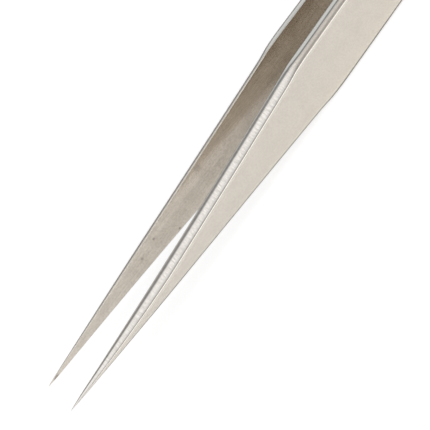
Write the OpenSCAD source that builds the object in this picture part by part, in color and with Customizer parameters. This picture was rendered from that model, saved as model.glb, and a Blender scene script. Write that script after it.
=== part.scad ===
// Straight precision tweezers with fine points, in satin stainless steel.
// Two ground steel leaves are spot welded at the tail. Each leaf is drawn in three lengths that meet
// face to face: the stiff arm, the thinner spring that bends, and the flat tail that is welded.
//
// Frame: the tweezers lie on the lower edges of both leaves, on z = 0. X runs along the tool with
// the points towards -X, Y is the opening direction, and the origin is midway along and across.
// A station is the distance from the points, measured along X.

/* [Overall] */
// Length from the points to the end of the tail
overall_l = 140; // [115:1:170]
// Widest width of a leaf, on the grip length
leaf_w = 9.6; // [8:0.1:12]
// Open gap between the inner faces at the points
tip_gap = 7.5; // [5:0.1:10]

/* [Arm] */
// Length of the ground taper, from the point to the shoulder
taper_l = 59; // [45:1:75]
// Thickness of the leaf on the arm
arm_t = 1.75; // [1.2:0.05:2.2]
// How far each inner face leans towards the other per millimetre of length, going back
arm_lean = 0.0197; // [0.01:0.0001:0.025]
// Outward bow of each arm at the middle of its length
arm_bow = 0.25; // [0:0.05:0.6]

/* [Point] */
// Width of the very end of the point
tip_w = 0.2; // [0.1:0.05:0.5]
// Thickness of the very end of the point
tip_t = 0.22; // [0.1:0.02:0.5]
// Length over which the leaf thins towards the point
tip_thin_l = 25; // [15:1:35]
// How far each edge of the taper is hollowed in at the middle of its length
taper_hollow = 0.18; // [0:0.02:0.4]

/* [Ground edges] */
// Width of the ground bevel beside the outer face
bevel_w = 0.8; // [0.3:0.05:1.2]
// Depth of the ground bevel below the outer face, on the grip length
bevel_d = 0.6; // [0.2:0.05:0.8]
// Length over which the rounded grind of the taper turns into the flat bevel at the shoulder
shoulder_blend_l = 6; // [3:1:12]

/* [Spring and tail] */
// Length of the spring, between the arm and the tail
spring_l = 35; // [20:1:50]
// Length of the flat welded tail
tail_l = 13; // [10:1:18]
// Thickness of the leaf at the tail and the rear of the spring
tail_t = 1.0; // [0.7:0.05:1.3]
// How much narrower than the grip the leaf is at the end of the tail
tail_narrowing = 1.2; // [0:0.1:2]
// Radius of the corners at the end of the tail
tail_corner_r = 1.6; // [0.5:0.1:3]

/* [Spot welds] */
// Diameter of a weld nugget
weld_d = 3.2; // [2:0.1:4]
// Thickness of a weld nugget, half of it in each leaf
weld_t = 0.8; // [0.4:0.1:1]
// Distance between the two welds
weld_pitch = 5.4; // [4:0.1:7]

/* [Hidden] */

LEFT = -1;
RIGHT = 1;

// Number of steps along each curved length
curve_steps = 24;
// Number of steps round a corner of the tail
corner_steps = 6;

// Above 1, the thickness runs smoothly into the level arm
thin_power = 1.5;
// Share of the half width that the grind may take, which leaves a narrow outer face at the point
max_grind = 0.9;
// Roundness of the grind on the taper, at the point and at the shoulder
point_round = 1.2;
shoulder_round = 0.7;

// Stations where the arm ends and the spring begins, and where the spring ends and the tail begins
arm_l = overall_l - tail_l - spring_l;
tail_start = overall_l - tail_l;
// Width of the leaf at the end of the tail
tail_w = leaf_w - tail_narrowing;
// Station of the middle of the welded pair of nuggets
weld_mid = tail_start + tail_l / 2;

// Half of the gap, and its slope, where the arm ends and the spring begins
spring_gap = tip_gap / 2 - arm_lean * arm_l;
spring_slope = -arm_lean - 4 * arm_bow / arm_l;

function clamp01(t) = min(1, max(0, t));
function ease(t) = clamp01(t) * clamp01(t) * (3 - 2 * clamp01(t));
function blend(a, b, t) = a + (b - a) * t;

// Inner face: a shallow bow along the arm, then one cubic that leaves the arm on its own slope and
// meets the tail flat on the middle plane
function inner_y(s) =
    s <= arm_l ? tip_gap / 2 - arm_lean * s + 4 * arm_bow * (s / arm_l) * (1 - s / arm_l) :
    let (t = clamp01((s - arm_l) / spring_l))
    (spring_gap * (1 + 2 * t) + spring_slope * spring_l * t) * (1 - t) * (1 - t);

// Thickness: grows from the point, is level on the arm and thins smoothly along the spring
function thickness(s) =
    s < tip_thin_l ? blend(arm_t, tip_t, pow(1 - s / tip_thin_l, thin_power)) :
    blend(arm_t, tail_t, ease((s - arm_l + spring_l / 4) / spring_l));

// Half width of the outline, with the tail's two corners rounded
function corner_cut(s) =
    let (u = max(0, s - (overall_l - tail_corner_r)))
    tail_corner_r - sqrt(max(0, tail_corner_r * tail_corner_r - u * u));
function half_w(s) =
    let (x = s / taper_l)
    s < taper_l ? blend(tip_w, leaf_w, x) / 2 - 4 * taper_hollow * x * (1 - x) :
    blend(leaf_w, tail_w, ease((s - arm_l) / (overall_l - arm_l))) / 2 - corner_cut(s);

// The bevel shrinks with the width near the point, and with the thickness near the tail
function edge_w(s) = min(bevel_w * thickness(s) / arm_t, max_grind * half_w(s));
function edge_d(s) = bevel_d * thickness(s) / arm_t;

// One cross-section of a leaf, as points of (distance from the inner face, height above its middle).
// The taper has a rounded grind over its whole side, and the grip has an upright side and a bevel.
function upper_edge(s) =
    let (t = thickness(s), w = half_w(s), ew = edge_w(s), ed = edge_d(s))
    let (flat = ease((s - taper_l) / shoulder_blend_l + 0.5))
    let (round = blend(point_round, shoulder_round, clamp01(s / taper_l)) * (1 - flat))
    [
        [0, w],
        [blend(0.34 * t, 0.5 * (t - ed), flat), w - 0.11 * round * ew],
        [blend(0.68 * t, t - ed, flat), w - 0.46 * round * ew],
        [t, w - ew],
    ];
function section(s) =
    let (up = upper_edge(s), n = len(up))
    concat(up, [for (i = [n - 1 : -1 : 0]) [up[i][0], -up[i][1]]]);

// Stations between two others: even steps, with the ends exact
function steps(a, b, n) = [for (i = [0 : n]) a + (b - a) * i / n];

// A length of leaf through a list of stations, drawn for the right-hand side (+Y)
module leaf_length(stations) {
    rings = [for (s = stations) [for (p = section(s))
        [s - overall_l / 2, inner_y(s) + p[0], leaf_w / 2 + p[1]]]];
    n = len(rings[0]);
    last = len(rings) - 1;
    sides = [for (i = [0 : last - 1]) for (j = [0 : n - 1])
        let (a = i * n + j, b = i * n + (j + 1) % n, c = a + n, d = b + n)
        each [[a, b, d], [a, d, c]]];
    // Each end is closed by quads between the upper and lower half of its ring
    front = [for (j = [0 : n / 2 - 2]) [n - 1 - j, n - 2 - j, j + 1, j]];
    back = [for (q = front) [for (j = [3 : -1 : 0]) last * n + q[j]]];
    polyhedron(points = [for (r = rings) each r], faces = concat(sides, front, back), convexity = 4);
}

module on_side(side) {
    if (side == LEFT) mirror([0, 1, 0]) children();
    else children();
}

module arm(side) {
    shoulder_a = taper_l - shoulder_blend_l / 2;
    shoulder_b = taper_l + shoulder_blend_l / 2;
    stations = concat(
        steps(0, tip_thin_l, curve_steps),
        [shoulder_a],
        [for (s = steps(shoulder_a, shoulder_b, 8)) if (s > shoulder_a) s],
        [for (s = steps(shoulder_b, arm_l, 16)) if (s > shoulder_b) s]);
    on_side(side) leaf_length(stations);
}

module spring(side) {
    on_side(side) leaf_length(steps(arm_l, tail_start, curve_steps));
}

module tail(side) {
    corner_start = overall_l - tail_corner_r;
    stations = concat(
        steps(tail_start, corner_start, 6),
        [for (i = [1 : corner_steps]) corner_start + tail_corner_r * sin(90 * i / corner_steps)]);
    difference() {
        on_side(side) leaf_length(stations);
        for (end = [-1, 1]) weld_nugget(end);
    }
}

// A nugget is a flat disc across the joint of the two tails. end is -1 nearer the points, 1 nearer the end.
module weld_nugget(end) {
    translate([weld_mid - overall_l / 2 + end * weld_pitch / 2, 0, leaf_w / 2])
        rotate([90, 0, 0]) cylinder(d = weld_d, h = weld_t, center = true, $fn = 48);
}

module left_arm() { color("#cfcac0") arm(LEFT); }
module right_arm() { color("#c9c4ba") arm(RIGHT); }
module left_spring() { color("#bdb8ae") spring(LEFT); }
module right_spring() { color("#b7b2a8") spring(RIGHT); }
module left_tail() { color("#cfcac0") tail(LEFT); }
module right_tail() { color("#c9c4ba") tail(RIGHT); }
module front_weld() { color("#8f8c88") weld_nugget(-1); }
module rear_weld() { color("#8f8c88") weld_nugget(1); }

left_arm();
right_arm();
left_spring();
right_spring();
left_tail();
right_tail();
front_weld();
rear_weld();
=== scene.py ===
import math

import bmesh
import bpy
from mathutils import Matrix, Vector


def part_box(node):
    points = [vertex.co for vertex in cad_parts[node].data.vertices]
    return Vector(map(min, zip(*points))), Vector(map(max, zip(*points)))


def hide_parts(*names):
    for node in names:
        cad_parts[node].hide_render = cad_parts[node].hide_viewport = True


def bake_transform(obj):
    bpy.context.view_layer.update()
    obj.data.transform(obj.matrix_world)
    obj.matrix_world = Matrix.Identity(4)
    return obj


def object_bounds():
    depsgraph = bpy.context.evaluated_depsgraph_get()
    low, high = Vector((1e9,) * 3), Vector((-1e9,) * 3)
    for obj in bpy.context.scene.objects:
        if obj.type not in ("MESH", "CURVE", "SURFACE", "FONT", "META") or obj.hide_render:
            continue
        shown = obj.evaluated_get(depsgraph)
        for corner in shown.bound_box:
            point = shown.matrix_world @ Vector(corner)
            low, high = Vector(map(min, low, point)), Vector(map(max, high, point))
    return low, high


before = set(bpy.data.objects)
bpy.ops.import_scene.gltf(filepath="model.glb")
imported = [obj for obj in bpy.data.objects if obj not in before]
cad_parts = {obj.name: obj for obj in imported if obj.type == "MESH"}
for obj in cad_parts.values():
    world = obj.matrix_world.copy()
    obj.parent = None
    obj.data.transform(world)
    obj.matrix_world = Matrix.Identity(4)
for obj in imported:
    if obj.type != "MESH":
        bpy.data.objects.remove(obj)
cad_low, cad_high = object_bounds()

# ---------------------------------------------------------------------------------------------
# The two leaves. Each is one strip of stainless steel, stamped to a long taper, thinned along its
# spring and bent. Its faces are blasted satin. Its edges are ground, rounded along the taper and
# to a flat bevel behind the shoulder. A station is a distance from the points.

mm = 0.001
overall_l = cad_high.x - cad_low.x
leaf_w = cad_high.z - cad_low.z
middle_z = (cad_low.z + cad_high.z) / 2
arm_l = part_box("right_arm")[1].x - cad_low.x
tail_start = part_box("right_tail")[0].x - cad_low.x
spring_l = tail_start - arm_l
tail_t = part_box("right_tail")[1].y

# Gap between the points, how far each inner face leans towards the other per unit of length, and
# its outward bow at the middle of the arm
tip_gap = 7.5 * mm
arm_lean = 0.0197
arm_bow = 0.25 * mm
spring_gap = tip_gap / 2 - arm_lean * arm_l
spring_slope = -arm_lean - 4 * arm_bow / arm_l
# Thickness on the arm and at the very point. Above 1, the power runs the thinning of the point
# smoothly into the level arm.
arm_t = 1.748 * mm
tip_t = 0.22 * mm
tip_thin_l = 25 * mm
thin_power = 1.5
# Outline: the taper has slightly hollow edges, and the tail is narrower, with round corners
taper_l = 59 * mm
tip_w = 0.2 * mm
taper_hollow = 0.18 * mm
tail_w = 8.4 * mm
tail_corner_r = 1.6 * mm
# Width of the grind on the taper and of the bevel behind the shoulder, the largest share of the
# half width that either may take, and the length over which one turns into the other
grind_w = 0.9 * mm
bevel_w = 0.7 * mm
bevel_d = 0.56 * mm
max_grind = 0.9
shoulder_blend_l = 6 * mm
# The point and the end of the tail are rounded off, and this share of the section is left at the
# very point
nose_l = 3 * mm
nose_share = 0.15
end_r = 0.12 * mm

# Small rounds left by tumbling. The outer corner has one size up the grind and one along the face.
outer_up = 0.12 * mm
outer_along = 0.34 * mm
# Largest shares of what is left of the half width that the outer and inner rounds may take
max_outer = 0.85
max_inner = 0.4
# The rest are pairs: on the taper and behind the shoulder. The inner corner has one size up its
# face and one across its side.
inner_up = (0.14 * mm, 0.04 * mm)
inner_across = (0.22 * mm, 0.05 * mm)
# The side is slightly crowned. The crown bends and ends at these shares of the thickness.
crown_h = (0, 0.016 * mm)
crown_bend = (0.15, 0.2)
crown_end = (0.16, 0.4)
# How steeply the side falls away from the inner corner
side_slope = (0.07, 0)
# Where the two sides of the grind would cross, as shares of the thickness and of the grind's
# width, and how much of its outer side the round takes
cross_in = (0.52, 1 - bevel_d / arm_t)
cross_down = (0.09, 0.0)
round_out = (0.8, 0.75)

# Shallow marks that the welding electrodes leave on the outside of the tail
weld_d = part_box("front_weld")[1].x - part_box("front_weld")[0].x
weld_marks = [(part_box(n)[0].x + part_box(n)[1].x) / 2 for n in ("front_weld", "rear_weld")]
mark_depth = 0.07 * mm
mark_rim = 0.45 * mm

# Steps round half of a section. A row of points close to each round keeps the face beside it flat.
beside_round = 0.97
inner_shares = (0, 0.3, 0.6, 0.85, beside_round, 1)
corner_steps = 4
crown_steps = 3
round_steps = 14
outer_steps = 16


def clamp01(t):
    return min(1, max(0, t))


def ease(t):
    return clamp01(t) ** 2 * (3 - 2 * clamp01(t))


def blend(a, b, t):
    return a + (b - a) * t


def inner_y(s):
    """Distance of the inner face from the middle plane at station s"""
    if s <= arm_l:
        return tip_gap / 2 - arm_lean * s + 4 * arm_bow * (s / arm_l) * (1 - s / arm_l)
    t = clamp01((s - arm_l) / spring_l)
    return (spring_gap * (1 + 2 * t) + spring_slope * spring_l * t) * (1 - t) ** 2


def thickness(s):
    if s < tip_thin_l:
        return blend(arm_t, tip_t, (1 - s / tip_thin_l) ** thin_power)
    return blend(arm_t, tail_t, ease((s - arm_l + spring_l / 4) / spring_l))


def half_width(s):
    if s < taper_l:
        x = s / taper_l
        return blend(tip_w, leaf_w, x) / 2 - 4 * taper_hollow * x * (1 - x)
    u = max(0, s - (overall_l - tail_corner_r))
    corner = tail_corner_r - math.sqrt(max(0, tail_corner_r**2 - u * u))
    return blend(leaf_w, tail_w, ease((s - arm_l) / (overall_l - arm_l))) / 2 - corner


def curve(a, b, c, n):
    """Points of a round from a to c, pulled towards b, without its first point"""
    out = []
    for i in range(1, n + 1):
        t = i / n
        out.append(a * (1 - t) ** 2 + b * 2 * t * (1 - t) + c * t * t)
    return out


def half_section(s):
    """Upper half of the section, from the middle of the inner face to the middle of the outer
    face, as (distance outwards from the inner face, height above the middle)"""
    t, w = thickness(s), half_width(s)
    size = t / arm_t
    # 0 on the taper and 1 behind the shoulder
    flat = ease((s - taper_l) / shoulder_blend_l + 0.5)
    grind = min(blend(grind_w, bevel_w, flat) * size, max_grind * w)
    fall = blend(*side_slope, flat) * t
    up = min(blend(*inner_up, flat) * size, max_inner * w)
    foot = Vector((0, w - blend(*crown_h, flat) * size))
    bend = Vector((blend(*crown_bend, flat) * t, w - blend(*crown_bend, flat) * fall))
    crown = Vector((blend(*crown_end, flat) * t, w - blend(*crown_end, flat) * fall))
    cross = Vector((blend(*cross_in, flat) * t, w - blend(*cross_down, flat) * grind))
    end = Vector((t, w - grind))
    across = foot + (bend - foot).normalized() * blend(*inner_across, flat) * size
    back = end + (cross - end).normalized() * outer_up * size
    top = w - grind - min(outer_along, max_outer * (w - grind))
    return (
        [Vector((0, (foot.y - up) * share)) for share in inner_shares]
        + curve(foot - Vector((0, up)), foot, across, corner_steps)
        + curve(across, bend, crown, crown_steps)
        + curve(crown, cross, blend(cross, end, blend(*round_out, flat)), round_steps)
        + [back]
        + curve(back, end, Vector((t, top)), corner_steps)
        + [Vector((t, top * beside_round))]
        + [Vector((t, top * (1 - i / outer_steps))) for i in range(1, outer_steps + 1)]
    )


def ring(s):
    """Closed section of the right leaf at station s, in its place"""
    t, w = thickness(s), half_width(s)
    x = cad_low.x + s
    half = half_section(s)
    lower = [Vector((p.x, -p.y)) for p in half[-2:0:-1]]
    placed = []
    for d, h in half + lower:
        # The two ends are rounded off by drawing the section in towards its middle
        if s < nose_l:
            share = blend(nose_share, 1, math.sqrt(1 - (1 - s / nose_l) ** 2))
            d, h = t / 2 + (d - t / 2) * share, h * share
        if s > overall_l - end_r:
            cut = end_r - math.sqrt(max(0, end_r**2 - (s - overall_l + end_r) ** 2))
            d = t / 2 + (d - t / 2) * (1 - 2 * cut / t)
            h *= 1 - cut / w
        if d > t / 2:
            for mark_x in weld_marks:
                r = math.hypot(x - mark_x, h)
                d -= mark_depth * (1 - ease((r - weld_d / 2 + mark_rim) / mark_rim))
        placed.append(Vector((x, inner_y(s) + d, middle_z + h)))
    return placed


# Sections along the leaf: closer together at the very point, then even between two stations
nose_steps = 14
end_steps = 6
shoulder_a = taper_l - shoulder_blend_l
shoulder_b = taper_l + shoulder_blend_l
corner_a = overall_l - tail_corner_r
end_a = overall_l - end_r
stations = [nose_l * (i / nose_steps) ** 2 for i in range(nose_steps)]
for a, b, n in (
    (nose_l, tip_thin_l, 32),
    (tip_thin_l, shoulder_a, 24),
    (shoulder_a, shoulder_b, 24),
    (shoulder_b, arm_l, 14),
    (arm_l, tail_start, 40),
    (tail_start, corner_a, 48),
    (corner_a, end_a, 10),
):
    stations += [a + (b - a) * i / n for i in range(n)]
stations += [end_a + end_r * math.sin(math.pi / 2 * i / end_steps) for i in range(end_steps + 1)]
rings = [ring(s) for s in stations]
ring_n = len(rings[0])

# Finish of each step of the half section. The side takes its crown and the start of the round.
INNER, CORNER, SIDE, EDGE, OUTER = range(5)
side_steps = crown_steps + 5
edge_steps = crown_steps + round_steps + 1 - side_steps
finishes = [INNER] * (len(inner_shares) - 1) + [CORNER] * corner_steps + [SIDE] * side_steps
finishes += [EDGE] * edge_steps + [CORNER] * corner_steps + [OUTER] * (outer_steps + 1)
# In front of this place the whole side is ground with the edge
side_start = cad_low.x + taper_l - 4 * mm

# A ring is extruded from section to section, and each of its points is then put in place
bpy.ops.object.select_all(action="DESELECT")
bpy.ops.mesh.primitive_circle_add(
    vertices=ring_n, radius=leaf_w / 2, fill_type="NGON",
    location=(cad_low.x, 0, 0), rotation=(0, math.pi / 2, 0),
)
right_leaf = bpy.context.object
right_leaf.name = "right_leaf_steel"
bpy.ops.object.transform_apply(location=True, rotation=True, scale=True)
bpy.ops.object.mode_set(mode="EDIT")
bpy.ops.mesh.select_all(action="SELECT")
for i in range(1, len(stations)):
    bpy.ops.mesh.extrude_region_move(
        TRANSFORM_OT_translate={"value": (stations[i] - stations[i - 1], 0, 0)}
    )
blank = bmesh.from_edit_mesh(right_leaf.data)
place_in_ring = {}
for v in blank.verts:
    i = min(range(len(stations)), key=lambda k: abs(cad_low.x + stations[k] - v.co.x))
    j = round(math.atan2(v.co.z, v.co.y) / (2 * math.pi) * ring_n) % ring_n
    place_in_ring[v] = j
    v.co = rings[i][j]
for face in blank.faces:
    is_end = len(face.verts) > 4
    step = min(min(place_in_ring[v], ring_n - place_in_ring[v]) for v in face.verts)
    face.material_index = EDGE if is_end else finishes[step]
    if face.material_index == SIDE and face.calc_center_median().x < side_start:
        face.material_index = EDGE
bmesh.update_edit_mesh(right_leaf.data)
bpy.ops.mesh.select_all(action="SELECT")
bpy.ops.mesh.remove_doubles(threshold=0.002 * mm)
bpy.ops.mesh.select_all(action="SELECT")
bpy.ops.mesh.normals_make_consistent(inside=False)
bpy.ops.object.mode_set(mode="OBJECT")
bpy.ops.object.shade_smooth_by_angle(angle=math.radians(40))


def colour(code):
    """Linear colour of an sRGB hex code"""
    channels = [int(code[i : i + 2], 16) / 255 for i in (0, 2, 4)]
    return (*[c / 12.92 if c <= 0.04045 else ((c + 0.055) / 1.055) ** 2.4 for c in channels], 1)


def new_material(name):
    """An empty material and its node tree"""
    made = bpy.data.materials.new(name)
    made.use_nodes = True
    made.node_tree.nodes.clear()
    return made, made.node_tree


def add(tree, kind, settings, inputs):
    """Adds a node with its own settings, and with each input set to a value or linked to an
    output. A Mix node's inputs go by number: 0 is the share, 2 and 3 are the numbers that it
    mixes, 6 and 7 the colours, and its output 2 is a colour."""
    made = tree.nodes.new("ShaderNode" + kind)
    for name, value in settings.items():
        setattr(made, name, value)
    for name, value in inputs.items():
        if isinstance(value, bpy.types.NodeSocket):
            tree.links.new(value, made.inputs[name])
        else:
            made.inputs[name].default_value = value
    return made.outputs


# Noise stays near a half, so a colour runs from dark to light over this part of it
noise_low = 0.35
noise_high = 0.65


# Satin stainless steel: a blasted face with a fine even grain and a faint warm cast.
# The inner face keeps more of the rolling marks along the strip, and a few stains.
def satin_steel(name, light, dark, dull, streaks, stains):
    material, tree = new_material(name)
    place = add(tree, "TexCoord", {}, {})["Object"]
    # Grain of the blasting, 0.05 mm on the steel, drawn 0.3 mm wide so that it shows
    grain = add(tree, "TexNoise", {}, {"Vector": place, "Scale": 1 / (0.3 * mm), "Detail": 2.0})
    # Cloudy patches some 2 mm across, under the grain
    cloud = add(tree, "TexNoise", {}, {"Vector": place, "Scale": 1 / (2 * mm), "Detail": 2.0})
    # Rolling marks, 6 mm long and 0.25 mm wide
    along = add(tree, "Mapping", {}, {
        "Vector": place, "Scale": (1 / (6 * mm), 1 / (0.25 * mm), 1 / (0.25 * mm)),
    })
    marks = add(tree, "TexNoise", {}, {"Vector": along[0], "Scale": 1.0, "Detail": 2.0})
    tone = add(tree, "Mix", {"data_type": "FLOAT"}, {0: 0.65, 2: cloud[0], 3: grain[0]})
    tone = add(tree, "Mix", {"data_type": "FLOAT"}, {0: streaks, 2: tone[0], 3: marks[0]})
    share = add(tree, "MapRange", {}, {
        "Value": tone[0], "From Min": noise_low, "From Max": noise_high,
    })
    base = add(tree, "Mix", {"data_type": "RGBA"}, {0: share[0], 6: colour(dark), 7: colour(light)})
    flat_place = add(tree, "VectorMath", {"operation": "MULTIPLY"}, {0: place, 1: (1, 0, 1)})
    for x, z, radius, strength in stains:
        away = add(tree, "VectorMath", {"operation": "DISTANCE"}, {0: flat_place[0], 1: (x, 0, z)})
        near = add(tree, "MapRange", {"interpolation_type": "SMOOTHSTEP"}, {
            "Value": away["Value"], "From Min": radius, "From Max": radius * 0.3,
            "To Min": 0.0, "To Max": strength,
        })
        base = add(tree, "Mix", {"data_type": "RGBA"}, {0: near[0], 6: base[2], 7: colour("66584C")})
    # Rubbed a little smoother where it is light
    rough = add(tree, "MapRange", {}, {
        "Value": tone[0], "From Min": 0.3, "From Max": 0.7, "To Min": dull, "To Max": dull - 0.06,
    })
    relief = add(tree, "Bump", {}, {"Strength": 0.2, "Distance": 0.02 * mm, "Height": tone[0]})
    shader = add(tree, "BsdfPrincipled", {}, {
        "Base Color": base[2], "Metallic": 1.0, "Roughness": rough[0], "Normal": relief[0],
    })
    add(tree, "OutputMaterial", {}, {"Surface": shader[0]})
    return material


# Belt-ground stainless steel. The taper is polished bright, with marks across the edge: 0.05 mm
# apart on the steel, drawn 0.08 mm apart. The bevel behind the shoulder is left coarser and duller.
def ground_steel(name):
    material, tree = new_material(name)
    place = add(tree, "TexCoord", {}, {})["Object"]
    x = add(tree, "SeparateXYZ", {}, {"Vector": place})["X"]
    behind = add(tree, "MapRange", {"interpolation_type": "SMOOTHSTEP"}, {
        "Value": x, "From Min": cad_low.x + taper_l - 3 * mm, "From Max": cad_low.x + taper_l + 4 * mm,
    })
    across = add(tree, "Mapping", {}, {
        "Vector": place, "Scale": (1 / (0.08 * mm), 1 / (1.0 * mm), 1 / (1.0 * mm)),
    })
    marks = add(tree, "TexNoise", {}, {"Vector": across[0], "Scale": 1.0, "Detail": 3.0})
    share = add(tree, "MapRange", {}, {
        "Value": marks[0], "From Min": noise_low, "From Max": noise_high,
    })
    polished = add(tree, "Mix", {"data_type": "RGBA"}, {
        0: share[0], 6: colour("D2CDC7"), 7: colour("E9E5E0"),
    })
    # Grit of the bevel, drawn 0.2 mm across
    grit = add(tree, "TexNoise", {}, {"Vector": place, "Scale": 1 / (0.2 * mm), "Detail": 2.0})
    share = add(tree, "MapRange", {}, {"Value": grit[0], "From Min": noise_low, "From Max": noise_high})
    coarse = add(tree, "Mix", {"data_type": "RGBA"}, {
        0: share[0], 6: colour("C3BBB2"), 7: colour("D2CAC1"),
    })
    base = add(tree, "Mix", {"data_type": "RGBA"}, {0: behind[0], 6: polished[2], 7: coarse[2]})
    height = add(tree, "Mix", {"data_type": "FLOAT"}, {0: behind[0], 2: marks[0], 3: grit[0]})
    rough = add(tree, "MapRange", {}, {"Value": behind[0], "To Min": 0.16, "To Max": 0.34})
    relief = add(tree, "Bump", {}, {"Strength": 0.35, "Distance": 0.02 * mm, "Height": height[0]})
    shader = add(tree, "BsdfPrincipled", {}, {
        "Base Color": base[2], "Metallic": 1.0, "Roughness": rough[0], "Normal": relief[0],
    })
    add(tree, "OutputMaterial", {}, {"Surface": shader[0]})
    return material


# Surface-ground side of the strip: cooler and smoother than the faces, with marks along it that
# are 4 mm long and drawn 0.1 mm wide. The rounded corners have the same marks, rubbed brighter.
def side_steel(name, dark, light):
    material, tree = new_material(name)
    place = add(tree, "TexCoord", {}, {})["Object"]
    along = add(tree, "Mapping", {}, {
        "Vector": place, "Scale": (1 / (4 * mm), 1 / (0.1 * mm), 1 / (0.1 * mm)),
    })
    marks = add(tree, "TexNoise", {}, {"Vector": along[0], "Scale": 1.0, "Detail": 2.0})
    share = add(tree, "MapRange", {}, {
        "Value": marks[0], "From Min": noise_low, "From Max": noise_high,
    })
    base = add(tree, "Mix", {"data_type": "RGBA"}, {0: share[0], 6: colour(dark), 7: colour(light)})
    rough = add(tree, "MapRange", {}, {"Value": marks[0], "To Min": 0.14, "To Max": 0.22})
    relief = add(tree, "Bump", {}, {"Strength": 0.1, "Distance": 0.01 * mm, "Height": marks[0]})
    shader = add(tree, "BsdfPrincipled", {}, {
        "Base Color": base[2], "Metallic": 1.0, "Roughness": rough[0], "Normal": relief[0],
    })
    add(tree, "OutputMaterial", {}, {"Surface": shader[0]})
    return material


# Stains on the right leaf's inner face: place along and up the leaf, radius and strength. The last,
# nearest the point, darkens a broader patch.
inner_stains = [
    (-43.2 * mm, 5.6 * mm, 0.3 * mm, 0.45),
    (-39.8 * mm, 2.9 * mm, 0.25 * mm, 0.6),
    (-46.6 * mm, 5.1 * mm, 0.3 * mm, 0.4),
    (-31.0 * mm, 7.0 * mm, 0.8 * mm, 0.2),
    (-68.2 * mm, 4.6 * mm, 0.8 * mm, 0.55),
]
# In the order of INNER, CORNER, SIDE, EDGE and OUTER
for material in (
    satin_steel("satin_steel_inner_face", "E7DFD4", "CBC2B6", 0.24, 0.3, inner_stains),
    side_steel("rubbed_steel_corner", "DED8CE", "E5DFD6"),
    side_steel("surface_ground_steel_side", "D2D1CD", "DEDDD9"),
    ground_steel("belt_ground_steel_edge"),
    satin_steel("satin_steel_outer_face", "E2DBD1", "D9D2C8", 0.38, 0.05, []),
):
    right_leaf.data.materials.append(material)

# The left leaf is the mirror image of the right one, without its stains
bpy.ops.object.duplicate()
left_leaf = bpy.context.object
left_leaf.name = "left_leaf_steel"
left_leaf.data.materials[INNER] = satin_steel(
    "satin_steel_left_inner_face", "E7DFD4", "CBC2B6", 0.24, 0.3, []
)
bpy.ops.object.mode_set(mode="EDIT")
bpy.ops.mesh.select_all(action="SELECT")
bpy.ops.transform.mirror(constraint_axis=(False, True, False), center_override=(0, 0, 0))
bpy.ops.mesh.normals_make_consistent(inside=False)
bpy.ops.object.mode_set(mode="OBJECT")

for leaf, body, nodes in (
    (right_leaf, "right_leaf", ("right_arm", "right_spring", "right_tail")),
    (left_leaf, "left_leaf", ("left_arm", "left_spring", "left_tail")),
):
    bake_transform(leaf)
    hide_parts(*nodes)

# ---------------------------------------------------------------------------------------------
# The two spot welds. Each is a nugget where the two tails melted together under the electrodes,
# so it is the leaves' own steel, cast grey and tinted by the heat. It lies inside the tail.

material, tree = new_material("fused_spot_weld_steel")
place = add(tree, "TexCoord", {}, {})["Object"]
# Cells of the fused steel, 0.3 mm across
cells = add(tree, "TexVoronoi", {}, {"Vector": place, "Scale": 1 / (0.3 * mm)})["Distance"]
base = add(tree, "Mix", {"data_type": "RGBA"}, {0: cells, 6: colour("A9A39A"), 7: colour("7E6E5C")})
relief = add(tree, "Bump", {}, {"Strength": 0.4, "Distance": 0.05 * mm, "Height": cells})
shader = add(tree, "BsdfPrincipled", {}, {
    "Base Color": base[2], "Metallic": 1.0, "Roughness": 0.5, "Normal": relief[0],
})
add(tree, "OutputMaterial", {}, {"Surface": shader[0]})
for name in ("front_weld", "rear_weld"):
    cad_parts[name].data.materials.clear()
    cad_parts[name].data.materials.append(material)

# ---------------------------------------------------------------------------------------------
# The floor: a plain pale matt sheet that the tweezers lie on. In the steel it carries painted shade: it
# is darker seen straight down than at a slant. The camera sees it white, with a soft shadow.

floor_size = 6
floor_z = cad_low.z - 0.01 * mm
bpy.ops.object.select_all(action="DESELECT")
bpy.ops.mesh.primitive_plane_add(size=floor_size, location=(0, 0, floor_z))
floor = bpy.context.object
floor.name = "floor"
bpy.ops.object.transform_apply(location=True, rotation=True, scale=True)
material, tree = new_material("matt_white_floor")
ray = add(tree, "LightPath", {}, {})
plain = add(tree, "BsdfDiffuse", {}, {"Color": colour("E6E6E6")})
# Painted shade, as the steel shows the floor: darkest straight down, full at a slant
slant = add(tree, "LayerWeight", {}, {"Blend": 0.5})["Facing"]
painted_shade_below = add(tree, "MapRange", {}, {
    "Value": slant, "From Min": 0.03, "From Max": 0.22, "To Min": 0.3, "To Max": 1.3,
})
painted_shade_below = add(tree, "CombineXYZ", {}, {"X": painted_shade_below[0], "Y": painted_shade_below[0], "Z": painted_shade_below[0]})
sheet = add(tree, "BsdfDiffuse", {}, {"Color": painted_shade_below[0]})
seen = add(tree, "Math", {"operation": "MAXIMUM"}, {
    0: ray["Is Glossy Ray"], 1: ray["Is Transmission Ray"],
})
mixed = add(tree, "MixShader", {}, {0: seen[0], 1: plain[0], 2: sheet[0]})
# As the camera sees it: mostly its own white, so that the shadow stays faint
bright = add(tree, "BsdfDiffuse", {}, {"Color": (1.25, 1.25, 1.25, 1)})
glow = add(tree, "Emission", {}, {"Color": (1, 1, 1, 1), "Strength": 1.12})
white = add(tree, "MixShader", {}, {0: 0.7, 1: bright[0], 2: glow[0]})
mixed = add(tree, "MixShader", {}, {0: ray["Is Camera Ray"], 1: mixed[0], 2: white[0]})
add(tree, "OutputMaterial", {}, {"Surface": mixed[0]})
floor.data.materials.append(material)

# ---------------------------------------------------------------------------------------------
# The light: a white tent round the tool, in bands along it. A bright strip lies low in front, a
# wide one overhead and a narrow one high behind, with dark flags between them. The camera sees
# plain white.

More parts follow.
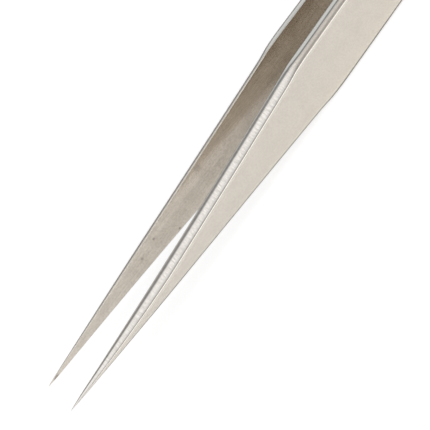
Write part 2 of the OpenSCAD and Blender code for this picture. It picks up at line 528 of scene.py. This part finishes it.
world = bpy.data.worlds.new("studio")
bpy.context.scene.world = world
world.use_nodes = True
tree = world.node_tree
tree.nodes.clear()
direction = add(tree, "TexCoord", {}, {})["Generated"]
axis = add(tree, "SeparateXYZ", {}, {"Vector": direction})
forward = add(tree, "Math", {"operation": "MULTIPLY"}, {0: axis["Y"], 1: -1.0})
# Angle round the tool: 0 is level in front of it, 90 overhead and 180 level behind
angle = add(tree, "Math", {"operation": "ARCTAN2"}, {0: axis["Z"], 1: forward[0]})
share = add(tree, "MapRange", {}, {
    "Value": angle[0], "From Min": -math.pi, "From Max": math.pi, "To Min": 0.0, "To Max": 1.0,
})
tent = add(tree, "ValToRGB", {}, {"Fac": share[0]})
# Angle in degrees and level of the light there
lights = [
    (-180, 1.15), (-90, 1.15), (0, 1.74), (20, 1.74), (28, 0.8), (34, 0.22), (47, 0.22), (54, 0.85),
    (64, 1.15), (88, 1.15), (97, 0.65), (104, 0.28), (119, 0.28), (126, 0.4), (134, 0.66),
    (141, 0.95), (149, 0.85), (153, 0.22), (176, 0.15), (180, 0.8),
]
top_light = max(light for degrees, light in lights)
ramp = tent[0].node.color_ramp
while len(ramp.elements) < len(lights):
    ramp.elements.new(0.5)
# All places first, because the ramp keeps its stops in order of place
for stop, (degrees, light) in zip(ramp.elements, lights):
    stop.position = (degrees + 180) / 360
for stop, (degrees, light) in zip(ramp.elements, lights):
    stop.color = (light / top_light, light / top_light, light / top_light, 1)
lit = add(tree, "Background", {}, {"Color": tent[0], "Strength": top_light})
white = add(tree, "Background", {}, {"Color": (1, 1, 1, 1), "Strength": 1.0})
ray = add(tree, "LightPath", {}, {})
mixed = add(tree, "MixShader", {}, {0: ray["Is Camera Ray"], 1: lit[0], 2: white[0]})
add(tree, "OutputWorld", {}, {"Surface": mixed[0]})

# ---------------------------------------------------------------------------------------------
# The camera: in front of the tool and above it, a long lens aimed at the taper, rolled so that
# the points hang down.

azimuth, elevation, roll = (math.radians(a) for a in (-5.626, 38.327, -57.226))
aim = Vector((-34.852 * mm, -1.793 * mm, 3.144 * mm))
distance = 450 * mm
look = Vector((
    math.sin(azimuth) * math.cos(elevation), math.cos(azimuth) * math.cos(elevation),
    -math.sin(elevation),
))
sideways = Vector((math.cos(azimuth), -math.sin(azimuth), 0))
above = sideways.cross(look)
across = sideways * math.cos(roll) + above * math.sin(roll)
up = above * math.cos(roll) - sideways * math.sin(roll)
camera_data = bpy.data.cameras.new("camera")
camera_data.lens = 259.57
camera_data.sensor_width = 36
camera = bpy.data.objects.new("camera", camera_data)
bpy.context.scene.collection.objects.link(camera)
turned = Matrix((across, up, -look)).transposed().to_4x4()
camera.matrix_world = Matrix.Translation(aim - look * distance) @ turned
bpy.context.scene.camera = camera
bpy.context.scene.view_settings.view_transform = "Standard"
